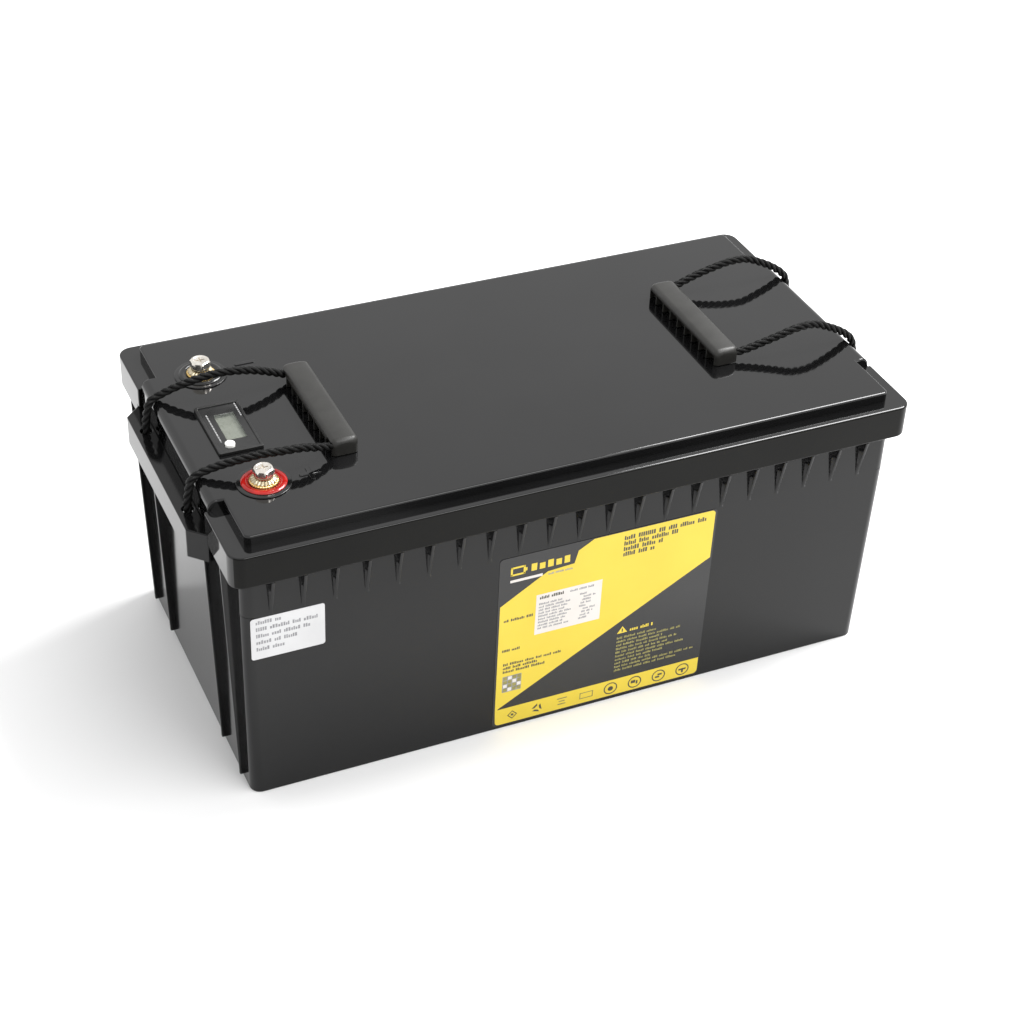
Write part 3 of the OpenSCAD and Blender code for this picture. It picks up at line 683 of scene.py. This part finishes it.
def block_cutter(boxes):
    """One mesh of separate boxes with rounded upright edges, to cut from a piece."""
    bm = bmesh.new()
    for low, high in boxes:
        r = min(1.0 * MM, (high[0] - low[0]) * 0.3, (high[1] - low[1]) * 0.3)
        outline = soften(
            [(low[0], low[1]), (high[0], low[1]), (high[0], high[1]), (low[0], high[1])], r, 2)
        bottom = [bm.verts.new((p.x, p.y, low[2])) for p in outline]
        top = [bm.verts.new((p.x, p.y, high[2])) for p in outline]
        bm.faces.new(list(reversed(bottom)))
        bm.faces.new(top)
        for i in range(len(outline)):
            j = (i + 1) % len(outline)
            bm.faces.new((bottom[i], bottom[j], top[j], top[i]))
    return from_bmesh("cutter", bm, ["grip_plastic"])


def cut(obj, boxes):
    """Cuts boxes from a piece, and leaves it as a plain mesh."""
    cutter = block_cutter(boxes)
    boolean = obj.modifiers.new("cut", "BOOLEAN")
    boolean.object = cutter
    boolean.solver = "EXACT"
    bpy.context.view_layer.update()
    graph = bpy.context.evaluated_depsgraph_get()
    mesh = bpy.data.meshes.new_from_object(obj.evaluated_get(graph))
    obj.modifiers.clear()
    obj.data = mesh
    bpy.data.objects.remove(cutter)


def make_grip(side):
    """A moulded grip: a cap over open cells between cross ribs, with the rope inside."""
    word = "left" if side < 0 else "right"
    low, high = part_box(f"{word}_grip")
    cap, end, rib, cells = 4.6 * MM, 2.4 * MM, 1.5 * MM, 9
    rope_top = 229.1 * MM
    middle = (low.x + high.x) / 2
    deep, past = low.z - 1 * MM, 1 * MM
    crown = Vector((0, 0, 0.35 * MM))
    grip = loaf(f"{word}_moulded_grip", low, high - crown, 3.8 * MM, 4.2 * MM)
    pitch = (high.y - low.y - 2 * end + rib) / cells
    side_w = 4.4 * MM
    sides = ((low.x - past, low.x + side_w), (high.x - side_w, high.x + past))
    first = low.y + end
    cut(grip, [
        ((x0, first + k * pitch, deep), (x1, first + (k + 1) * pitch - rib, high.z - cap))
        for k in range(cells) for x0, x1 in sides
    ])
    channel = 3.6 * MM
    cut(grip, [((middle - channel, low.y + end, deep), (middle + channel, high.y - end, rope_top))])
    centre = (low.y + high.y) / 2
    exits = ((-51.3, -43.5), (43.5, 51.3)) if side > 0 else ((-50.2, -42.0), (42.0, 53.5))
    edge = (middle, high.x + past) if side > 0 else (low.x - past, middle)
    cut(grip, [
        ((edge[0], centre + start * MM, deep), (edge[1], centre + stop * MM, rope_top + 1.2 * MM))
        for start, stop in exits
    ])
    grip.data.shade_smooth()
    grip.data.set_sharp_from_angle(angle=math.radians(40))
    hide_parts(f"{word}_grip")
    ride(grip, f"{word}_handle")


# ---------------------------------------------------------------- terminals
def make_collar(word, y):
    """The flat black collar round a terminal, with rounded rims."""
    low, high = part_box(f"{word}_collar")
    outer, inner = (high.x - low.x) / 2, 9.3 * MM
    outline = soften(
        [(inner, low.z), (outer, low.z), (outer - 0.2 * MM, high.z), (inner, high.z)], 0.5 * MM)
    collar = lathe(f"{word}_terminal_collar", outline, TERM_X, y, ["collar_plastic"])
    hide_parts(f"{word}_collar")
    ride(collar, "case")


def make_colour_ring(word, y, slot):
    """The coloured ring: a domed outer band that falls to a lower inner seat."""
    low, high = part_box(f"{word}_ring")
    outer, inner = (high.x - low.x) / 2, 10.3 * MM
    outline = soften([
        (inner, low.z), (outer, low.z), (outer, low.z + 0.6 * MM),
        (outer - 1.5 * MM, high.z), (inner + 1.7 * MM, high.z - 0.2 * MM),
        (inner + 1.2 * MM, high.z - 0.6 * MM), (inner, high.z - 0.6 * MM),
    ], 0.7 * MM, 4)
    ring = lathe(f"{word}_colour_ring", outline, TERM_X, y, [slot])
    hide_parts(f"{word}_ring")
    ride(ring, "case")


def make_insert(word, y):
    """Brass insert: a knurled flange over a barrel with a threaded bore."""
    low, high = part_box(f"{word}_insert")
    flange, barrel, bore = (high.x - low.x) / 2, 9 * MM, 4.1 * MM
    foot = high.z - 2.0 * MM
    knurls = 34

    def knurl(angle, r, z):
        if r < flange - 0.9 * MM or z < foot + 0.1 * MM:
            return r
        return r - 0.45 * MM * (0.5 + 0.5 * math.cos(knurls * angle)) ** 0.5

    outline = soften([
        (bore, low.z), (barrel, low.z), (barrel, foot), (flange - 0.6 * MM, foot),
        (flange, foot + 0.5 * MM), (flange, high.z - 0.5 * MM),
        (flange - 0.7 * MM, high.z), (bore, high.z),
    ], 0.25 * MM, 2)
    insert = lathe(f"{word}_knurled_insert", outline, TERM_X, y, ["brass"], 340, knurl)
    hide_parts(f"{word}_insert")
    ride(insert, "case")


def make_flat_washer(word, y):
    """A toothed washer: a shallow cone whose skirt is cut into ridges."""
    low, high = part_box(f"{word}_flat_washer")
    outer, inner, crown = (high.x - low.x) / 2, 4.25 * MM, 6.3 * MM
    teeth = 20

    def ridge(angle, r, z):
        if r < crown - 0.2 * MM:
            return r
        depth = 1.1 * MM * min(1.0, (r - crown + 0.5 * MM) / (1.5 * MM))
        return r - depth * (0.5 + 0.5 * math.cos(teeth * angle)) ** 1.5

    outline = soften([
        (inner, low.z), (outer, low.z), (outer, low.z + 0.5 * MM),
        (crown + 0.9 * MM, high.z - 0.4 * MM), (crown, high.z), (inner, high.z),
    ], 0.3 * MM, 2)
    washer = lathe(f"{word}_washer_flat", outline, TERM_X, y, ["plated_steel"], 320, ridge)
    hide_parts(f"{word}_flat_washer")
    ride(washer, f"{word}_washers")


def make_spring_washer(word, y):
    """A split spring washer: a square section wound just short of one turn."""
    low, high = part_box(f"{word}_spring_washer")
    outer, inner = 6.4 * MM, 4.25 * MM
    rise, count = 0.35 * MM, 72
    gap = math.radians(9)
    bm = bmesh.new()
    rings = []
    for k in range(count + 1):
        t = k / count
        angle = gap / 2 + (2 * math.pi - gap) * t
        z0, z1 = low.z + rise * t, high.z - rise * (1 - t)
        section = soften([(inner, z0), (outer, z0), (outer, z1), (inner, z1)], 0.3 * MM, 2)
        rings.append([
            bm.verts.new((TERM_X + p.x * math.cos(angle), y + p.x * math.sin(angle), p.y))
            for p in section
        ])
    size = len(rings[0])
    for one, two in zip(rings, rings[1:]):
        for i in range(size):
            j = (i + 1) % size
            bm.faces.new((one[i], two[i], two[j], one[j]))
    bm.faces.new(rings[0])
    bm.faces.new(list(reversed(rings[-1])))
    washer = from_bmesh(f"{word}_washer_spring", bm, ["plated_steel"])
    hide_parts(f"{word}_spring_washer")
    ride(washer, f"{word}_washers")


def make_bolt(word, y):
    """A hexagon bolt: a chamfered head with a cross recess over a shank ringed as a thread."""
    low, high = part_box(f"{word}_bolt")
    across, head_h, pitch = 6.5 * MM, 5.3 * MM, 1.25 * MM
    head = high.z - head_h
    shank_r, root_r = 3.95 * MM, 3.4 * MM
    corner = across / math.cos(math.pi / 6)

    def hexagon(angle, r, z):
        if r < across - 0.9 * MM or z < head - 0.01 * MM:
            return r
        flat = across / math.cos((angle + math.pi / 6) % (math.pi / 3) - math.pi / 6)
        return min(flat, r) - 0.06 * MM

    outline = [(0.2 * MM, low.z), (root_r, low.z)]
    threads = int((head - low.z) / pitch)
    for k in range(threads):
        foot = low.z + k * pitch
        outline += [
            (shank_r, foot + pitch * 0.45), (shank_r, foot + pitch * 0.6), (root_r, foot + pitch)]
    outline += [
        (shank_r, head), (across - 1.0 * MM, head), (corner - 0.5 * MM, head + 0.3 * MM),
        (corner, head + 0.8 * MM), (corner, high.z - 1.3 * MM),
        (across + 0.1 * MM, high.z - 0.6 * MM),
        (across - 0.5 * MM, high.z - 0.12 * MM), (across - 1.0 * MM, high.z),
        (across - 1.6 * MM, high.z - 0.05 * MM), (across - 2.0 * MM, high.z - 0.35 * MM),
        (0.2 * MM, high.z - 0.4 * MM),
    ]
    bolt = lathe(f"{word}_hex_bolt", outline, TERM_X, y, ["bolt_steel"], 96, hexagon)
    arm, slot_w, depth = 3.3 * MM, 0.55 * MM, 1.6 * MM
    for wide, long in ((arm, slot_w), (slot_w, arm)):
        cut(bolt, [(
            (TERM_X - wide, y - long, high.z - depth),
            (TERM_X + wide, y + long, high.z + 1 * MM),
        )])
    bolt.data.shade_smooth()
    bolt.data.set_sharp_from_angle(angle=math.radians(30))
    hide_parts(f"{word}_bolt")
    ride(bolt, f"{word}_bolt")


def make_terminal(word, y, slot):
    """Every piece of one terminal; slot is its colour ring's."""
    make_collar(word, y)
    make_colour_ring(word, y, slot)
    make_insert(word, y)
    make_flat_washer(word, y)
    make_spring_washer(word, y)
    make_bolt(word, y)


# ---------------------------------------------------------------- meter
def make_meter():
    """Bezel and button of the charge meter, with plain dashes for its printing."""
    bezel = refine("meter_bezel", "meter_frame", ["bezel_plastic"])
    low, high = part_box("meter_bezel")
    border, sunk = 1.9 * MM, 0.7 * MM
    cut(bezel, [(
        (low.x + border, low.y + border, high.z - sunk),
        (high.x - border, high.y - border, high.z + 1 * MM),
    )])
    bezel.data.shade_smooth()
    bezel.data.set_sharp_from_angle(angle=math.radians(35))
    round_edges(bezel, 0.4 * MM)
    ride(bezel, "case")
    print_z = high.z - sunk
    low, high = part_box("meter_button")
    radius, foot_r = 3.5 * MM, (high.x - low.x) / 2
    x, y = (low.x + high.x) / 2, (low.y + high.y) / 2
    shoulder = low.z + 1.3 * MM
    outline = soften([
        (0.25 * MM, low.z), (foot_r, low.z), (foot_r, shoulder), (radius, shoulder),
        (radius, high.z - 0.5 * MM), (radius - 0.8 * MM, high.z), (0.25 * MM, high.z - 0.25 * MM),
    ], 0.3 * MM)
    button = lathe("push_button", outline, x, y, ["button"], 48)
    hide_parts("meter_button")
    ride(button, "meter_button")
    dashes = random.Random(5)
    flat = []
    for x, start, end in ((-219.4, 16.7, -17.7), (-197.0, 25.0, 8.7)):
        at = start
        while at > end:
            long = dashes.uniform(1.2, 3.0)
            flat.append((x, max(at - long, end), x + 0.9, at))
            at -= long + 0.6
    bm = bmesh.new()
    sunk_z, proud_z = print_z - 0.01 * MM, print_z + 0.06 * MM
    for x0, y0, x1, y1 in flat:
        add_prism(bm, [
            (Vector((u * MM, v * MM, sunk_z)), Vector((u * MM, v * MM, proud_z)))
            for u, v in ((x0, y0), (x1, y0), (x1, y1), (x0, y1))
        ])
    prints = from_bmesh("meter_printing", bm, ["meter_print"])
    ride(prints, "case")


# ---------------------------------------------------------------- labels
def add_prism(bm, pairs, index=0):
    """A closed plate from (lower, upper) corner pairs in order round its outline."""
    bottom = [bm.verts.new(a) for a, _ in pairs]
    top = [bm.verts.new(b) for _, b in pairs]
    faces = [bm.faces.new(list(reversed(bottom))), bm.faces.new(top)]
    for i in range(len(pairs)):
        j = (i + 1) % len(pairs)
        faces.append(bm.faces.new((bottom[i], bottom[j], top[j], top[i])))
    for face in faces:
        face.material_index = index


class Wall:
    """The leaning front wall that the labels lie on: x along it, h up it, out of it in t."""

    def __init__(self):
        low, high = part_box("front_label")
        thick = 0.3 * MM
        self.lean = math.atan((high.y - low.y - thick) / (high.z - low.z))
        self.y = -122.8 * MM

    def point(self, x, h, t):
        s, c = math.sin(self.lean), math.cos(self.lean)
        x, h, t = x * MM, h * MM, t * MM
        return Vector((x, self.y - h * s - t * c, h * c - t * s))


class Print:
    """Flat inks on a label, each a thin plate of one colour, layer over layer.
    Places and sizes are in millimetres along the wall and up it."""

    film = 0.3

    def __init__(self, wall, inks):
        self.wall, self.inks = wall, inks
        self.bm = bmesh.new()

    def shape(self, points, ink, layer=1):
        low, high = self.film - 0.02, self.film + 0.035 * layer
        add_prism(
            self.bm,
            [(self.wall.point(x, h, low), self.wall.point(x, h, high)) for x, h in points],
            self.inks.index(ink))

    def bar(self, x0, h0, x1, h1, ink, layer=1):
        self.shape([(x0, h0), (x1, h0), (x1, h1), (x0, h1)], ink, layer)

    def ring(self, x, h, radius, width, ink, layer=2, sides=28):
        inner = radius - width
        for k in range(sides):
            a, b = (2 * math.pi * q / sides for q in (k, k + 1))
            self.shape([
                (x + inner * math.cos(a), h + inner * math.sin(a)),
                (x + radius * math.cos(a), h + radius * math.sin(a)),
                (x + radius * math.cos(b), h + radius * math.sin(b)),
                (x + inner * math.cos(b), h + inner * math.sin(b)),
            ], ink, layer)

    def words(self, x, h, width, height, ink, seed, layer=2, letter=0.62):
        """A line of greeked words: groups of short upright blocks that spell nothing."""
        rng = random.Random(seed)
        at = x
        while at < x + width:
            letters = rng.randint(3, 8)
            for _ in range(letters):
                long = height * letter * rng.uniform(0.7, 1.1)
                if at + long > x + width:
                    break
                drop = rng.choice((0.0, 0.0, 0.25, 0.3))
                self.bar(at, h, at + long * 0.72, h + height * (1 - drop), ink, layer)
                at += long
            at += height * 0.6

    def finish(self, name):
        return from_bmesh(name, self.bm, self.inks)


def icon_square(p, x, h, s):
    p.ring(x, h, s * 0.8, s * 0.2, "dark_print", sides=4)
    p.bar(x - s * 0.2, h - s * 0.2, x + s * 0.2, h + s * 0.2, "dark_print", 2)


def icon_triangle(p, x, h, s):
    for k in range(3):
        a, b = (math.radians(90 + 120 * q) for q in (k, k + 0.72))
        p.shape([
            (x + s * 0.9 * math.cos(a), h + s * 0.9 * math.sin(a)),
            (x + s * 0.45 * math.cos(a), h + s * 0.45 * math.sin(a)),
            (x + s * 0.45 * math.cos(b), h + s * 0.45 * math.sin(b)),
            (x + s * 0.9 * math.cos(b), h + s * 0.9 * math.sin(b)),
        ], "dark_print", 2)


def icon_stack(p, x, h, s):
    for k, wide in enumerate((0.8, 0.5, 0.65)):
        level = h + s * (0.5 - 0.55 * k)
        p.bar(x - s * wide, level, x + s * wide, level + s * 0.22, "dim_print", 2)


def icon_frame(p, x, h, s):
    w, t = s * 1.1, s * 0.16
    p.bar(x - w, h + s * 0.6 - t, x + w, h + s * 0.6, "dim_print", 2)
    p.bar(x - w, h - s * 0.6, x + w, h - s * 0.6 + t, "dim_print", 2)
    p.bar(x - w, h - s * 0.6, x - w + t, h + s * 0.6, "dim_print", 2)
    p.bar(x + w - t, h - s * 0.6, x + w, h + s * 0.6, "dim_print", 2)


def icon_round(kind):
    """A ring round a plain mark: a dot, a bar, a step or a cross bar."""
    def draw(p, x, h, s):
        p.ring(x, h, s, s * 0.17, "dark_print")
        if kind == 0:
            p.ring(x, h - s * 0.05, s * 0.4, s * 0.39, "dark_print", sides=12)
        elif kind == 1:
            p.bar(x - s * 0.55, h - s * 0.15, x + s * 0.1, h + s * 0.35, "dark_print", 2)
            p.bar(x + s * 0.2, h - s * 0.4, x + s * 0.45, h + s * 0.2, "dark_print", 2)
        elif kind == 2:
            p.bar(x - s * 0.5, h - s * 0.35, x + s * 0.15, h - s * 0.05, "dark_print", 2)
            p.bar(x - s * 0.15, h + s * 0.05, x + s * 0.5, h + s * 0.35, "dark_print", 2)
        else:
            p.bar(x - s * 0.55, h - s * 0.12, x + s * 0.55, h + s * 0.18, "dark_print", 2)
            p.bar(x - s * 0.12, h - s * 0.55, x + s * 0.18, h - s * 0.12, "dark_print", 2)
    return draw


def make_front_label(wall):
    """The large label: a yellow band across dark film, a panel of figures and a row of icons."""
    inks = ["yellow_print", "white_print", "dark_print", "grey_print", "dim_print"]
    p = Print(wall, inks)
    left, right, top, strip_top = -59.3, 103.5, 155.3, 18.7
    corner = 3.0
    band = [(left, strip_top), (left, 114.4), (-24.5, 136.6), (-4.5, 138.0), (-2.0, 148.3)]
    band += [(9.6, top), (right - corner, top)]
    band += [
        (right - corner + corner * math.sin(a), top - corner + corner * math.cos(a))
        for a in (math.radians(d) for d in (22, 45, 68, 90))
    ]
    band += [(right, 113.2), (left + 2.3, 19.6), (left + 1.6, strip_top)]
    p.shape(band, "yellow_print")
    strip = [(left, strip_top), (104.3, strip_top)]
    strip += [
        (x + corner * math.cos(a), 3.9 + corner + corner * math.sin(a))
        for x, turn in ((104.3 - corner, -90), (left + 0.4 + corner, -180))
        for a in (math.radians(turn + d) for d in (90, 60, 30, 0))
    ]
    p.shape(strip, "yellow_print")

    p.bar(-32, 81.6, 18.4, 117.4, "white_print", 2)
    p.words(-29.3, 112.9, 21, 2.6, "dark_print", 11, 3, 0.55)
    p.words(-6.3, 113.0, 19, 1.8, "grey_print", 12, 3)
    for k in range(9):
        level = 107.8 - 2.74 * k
        p.words(-29.7, level, 19.5 + (k * 5 % 7), 1.7, "grey_print", 20 + k, 3)
        p.words(1.6 + (k * 3 % 4), level + 0.2, 7 + (k * 3 % 4), 1.7, "grey_print", 40 + k, 3)

    for k, wide in enumerate((64.5, 44, 32, 26)):
        p.words(33, 147.6 - 4.75 * k, wide, 3.7, "dark_print", 60 + k, 2, 0.5)
    p.words(-56, 99.6, 22.4, 2.3, "dark_print", 70, 2)
    p.words(-56, 72.3, 14, 2.2, "dark_print", 71, 2)
    for k, wide in enumerate((46, 27, 35)):
        p.words(-54.7, 59.2 - 3.4 * k, wide, 2.3, "dark_print", 72 + k, 2)
    p.bar(-54.6, 34.3, -40.0, 49.1, "grey_print", 2)
    for k in range(16):
        x, h = -53.9 + 3.55 * (k % 4), 35.0 + 3.55 * (k // 4)
        p.bar(x, h, x + 2.9, h + 2.9, "white_print" if k % 3 == 1 else "dim_print", 3)

    line = 1.5
    p.bar(-52.6, 139.6, -41.6, 139.6 + line, "yellow_print")
    p.bar(-52.6, 147.2 - line, -41.6, 147.2, "yellow_print")
    p.bar(-52.6, 139.6, -52.6 + line, 147.2, "yellow_print")
    p.bar(-41.6 - line, 139.6, -41.6, 147.2, "yellow_print")
    p.bar(-41.6, 142.0, -40.3, 144.8, "yellow_print")
    for k in range(5):
        x = -37.2 + 6.2 * k
        p.bar(x, 140.4, x + 4.2, 146.6 - 1.0 * (k % 2), "yellow_print")
    p.bar(-52.6, 133.9, -28.5, 136.1, "white_print")
    p.words(-24.0, 133.4, 18.5, 1.6, "grey_print", 80, 2)

    icons = [icon_square, icon_triangle, icon_stack, icon_frame] + [icon_round(k) for k in range(4)]
    for k, draw in enumerate(icons):
        draw(p, -45.5 + 19.6 * k, 10.9, 5.5 if k > 3 else 4.9)

    p.shape([(34.0, 62.3), (42.1, 62.3), (38.0, 68.6)], "yellow_print", 1)
    p.bar(37.6, 63.3, 38.5, 66.4, "dark_print", 2)
    p.words(44.2, 62.4, 20, 2.8, "yellow_print", 90, 1)
    widths = (33, 52.6, 38, 50, 42, 55.7, 40, 30, 64.7, 51)
    for k, wide in enumerate(widths):
        p.words(34.3, 57.0 - 3.4 * k, wide, 2.0, "dim_print", 100 + k, 1)
    label = p.finish("front_label_printing")
    ride(label, "case")


def make_side_label(wall):
    """The small white label with five greeked lines."""
    p = Print(wall, ["grey_print"])
    for k, wide in enumerate((18.5, 43, 38.5, 31, 20)):
        p.words(-233.5, 150.9 - 5.6 * k, wide, 3.0, "grey_print", 130 + k, 1, 0.6)
    label = p.finish("side_label_printing")
    ride(label, "case")


# ---------------------------------------------------------------- the carried-over CAD nodes
def finish_nodes():
    """Gives every CAD node that still shows the material of its slot in the record."""
    slots = {s["node"]: s["material_slot"] for s in frame["record"]["subparts"]}
    for name, node in frame["nodes"].items():
        node.data.materials.clear()
        node.data.materials.append(MATERIALS[slots[name]])


make_camera()
make_materials()
make_light()
make_floor()
make_rope(-1, LEFT_ROUTE, 45)
make_rope(1, RIGHT_ROUTE, 75)
make_case()
make_lid()
make_grip(-1)
make_grip(1)
make_terminal("positive", -TERM_Y, "red_ring")
make_terminal("negative", TERM_Y, "black_ring")
make_meter()
front_wall = Wall()
make_front_label(front_wall)
make_side_label(front_wall)
finish_nodes()

bpy.context.view_layer.update()
